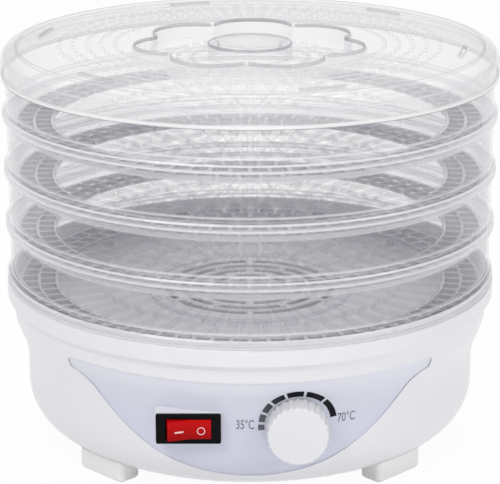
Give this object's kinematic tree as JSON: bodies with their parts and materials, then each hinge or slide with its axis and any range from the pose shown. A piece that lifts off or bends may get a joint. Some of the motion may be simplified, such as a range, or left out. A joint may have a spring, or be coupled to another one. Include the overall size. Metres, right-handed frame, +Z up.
{
  "type": "food_dehydrator",
  "caption": "Round stacking food dehydrator: clear lid and slotted trays on a white base with a fan heater, red rocker switch and fluted temperature knob",
  "frame": {"origin": "on the axis of the stack, at the level of the undersides of the feet", "axes": "+Z up along the axis of the stack, +Y to the back, the control panel faces -Y, +X to the right seen from the front"},
  "size_m": [0.3216, 0.3246, 0.262],
  "materials": {
    "white_plastic": "moulded white plastic, slight gloss",
    "foot_plastic": "moulded off-white plastic, matt",
    "panel_plastic": "pale lilac plastic inlay, satin",
    "mark_ink": "printed ink, grey to blue-black",
    "black_plastic": "moulded black plastic",
    "red_plastic": "moulded red plastic, gloss",
    "clear_plastic": "clear moulded plastic with a slight lilac tint",
    "lid_plastic": "clear moulded plastic, lightly frosted",
    "zinc_steel": "zinc plated steel",
    "galvanised_sheet": "galvanised sheet steel",
    "core_steel": "stacked core sheets, bare edges",
    "mica_board": "mica board",
    "heater_alloy": "resistance wire, oxidised",
    "bobbin_plastic": "moulded plastic",
    "copper_winding": "lacquered copper wire",
    "bronze": "sintered bronze",
    "fan_plastic": "moulded dark plastic",
    "terminal_brass": "brass, bare",
    "ceramic_block": "pressed ceramic, matt",
    "gland_rubber": "grey soft plastic",
    "wire_insulation": "white silicone insulation"
  },
  "bodies": {
    "base": {"base_deck": "white_plastic", "base_housing": "white_plastic", "base_rim": "white_plastic", "bottom_cover": "white_plastic", "control_panel": "panel_plastic", "cord_gland": "gland_rubber", "cover_screws": "zinc_steel", "deck_screws": "zinc_steel", "feet": "foot_plastic", "heat_shield": "galvanised_sheet", "heater_boards": "mica_board", "heater_wire": "heater_alloy", "internal_wiring": "wire_insulation", "motor_bearings": "bronze", "motor_bobbin": "bobbin_plastic", "motor_bracket_lower": "zinc_steel", "motor_bracket_upper": "zinc_steel", "motor_nuts": "zinc_steel", "motor_screws": "zinc_steel", "motor_stator": "core_steel", "motor_strap": "galvanised_sheet", "motor_winding": "copper_winding", "scale_marks": "mark_ink", "strap_screws": "zinc_steel", "switch_body": "black_plastic", "switch_terminals": "terminal_brass", "thermal_fuse": "galvanised_sheet", "thermostat_block": "ceramic_block", "thermostat_frame": "zinc_steel", "thermostat_nut": "terminal_brass", "thermostat_terminals": "terminal_brass", "top_grille": "white_plastic"},
    "fan": {"fan_impeller": "fan_plastic", "motor_rotor": "core_steel", "motor_shaft": "zinc_steel"},
    "knob": {"temperature_knob": "white_plastic", "thermostat_shaft": "zinc_steel"},
    "rocker": {"switch_rocker": "red_plastic"},
    "tray_1": {"tray_1": "clear_plastic", "tray_1_floor": "clear_plastic"},
    "tray_2": {"tray_2": "clear_plastic", "tray_2_floor": "clear_plastic"},
    "tray_3": {"tray_3": "clear_plastic", "tray_3_floor": "clear_plastic"},
    "tray_4": {"tray_4": "clear_plastic", "tray_4_floor": "clear_plastic"},
    "lid": {"lid": "lid_plastic", "lid_pan": "lid_plastic", "lid_handle": "lid_plastic"}
  },
  "joints": [
    {"name": "fan_spin", "type": "hinge", "parent": "base", "child": "fan", "pos_m": [0, 0, 0.065], "axis": [0, 0, 1], "continuous": true},
    {"name": "knob_turn", "type": "hinge", "parent": "base", "child": "knob", "pos_m": [0.029, -0.1483, 0.0548], "axis": [0, 1, 0], "range_deg": [0, 180]},
    {"name": "rocker_tilt", "type": "hinge", "parent": "base", "child": "rocker", "pos_m": [-0.0373, -0.1505, 0.0548], "axis": [0, 0, 1], "range_deg": [-20, 0]},
    {"name": "tray_1_lift", "type": "slide", "parent": "base", "child": "tray_1", "axis": [0, 0, 1], "range_m": [0, 0.08]},
    {"name": "tray_2_lift", "type": "slide", "parent": "tray_1", "child": "tray_2", "axis": [0, 0, 1], "range_m": [0, 0.08]},
    {"name": "tray_3_lift", "type": "slide", "parent": "tray_2", "child": "tray_3", "axis": [0, 0, 1], "range_m": [0, 0.08]},
    {"name": "tray_4_lift", "type": "slide", "parent": "tray_3", "child": "tray_4", "axis": [0, 0, 1], "range_m": [0, 0.08]},
    {"name": "lid_lift", "type": "slide", "parent": "tray_4", "child": "lid", "axis": [0, 0, 1], "range_m": [0, 0.1]}
  ]
}
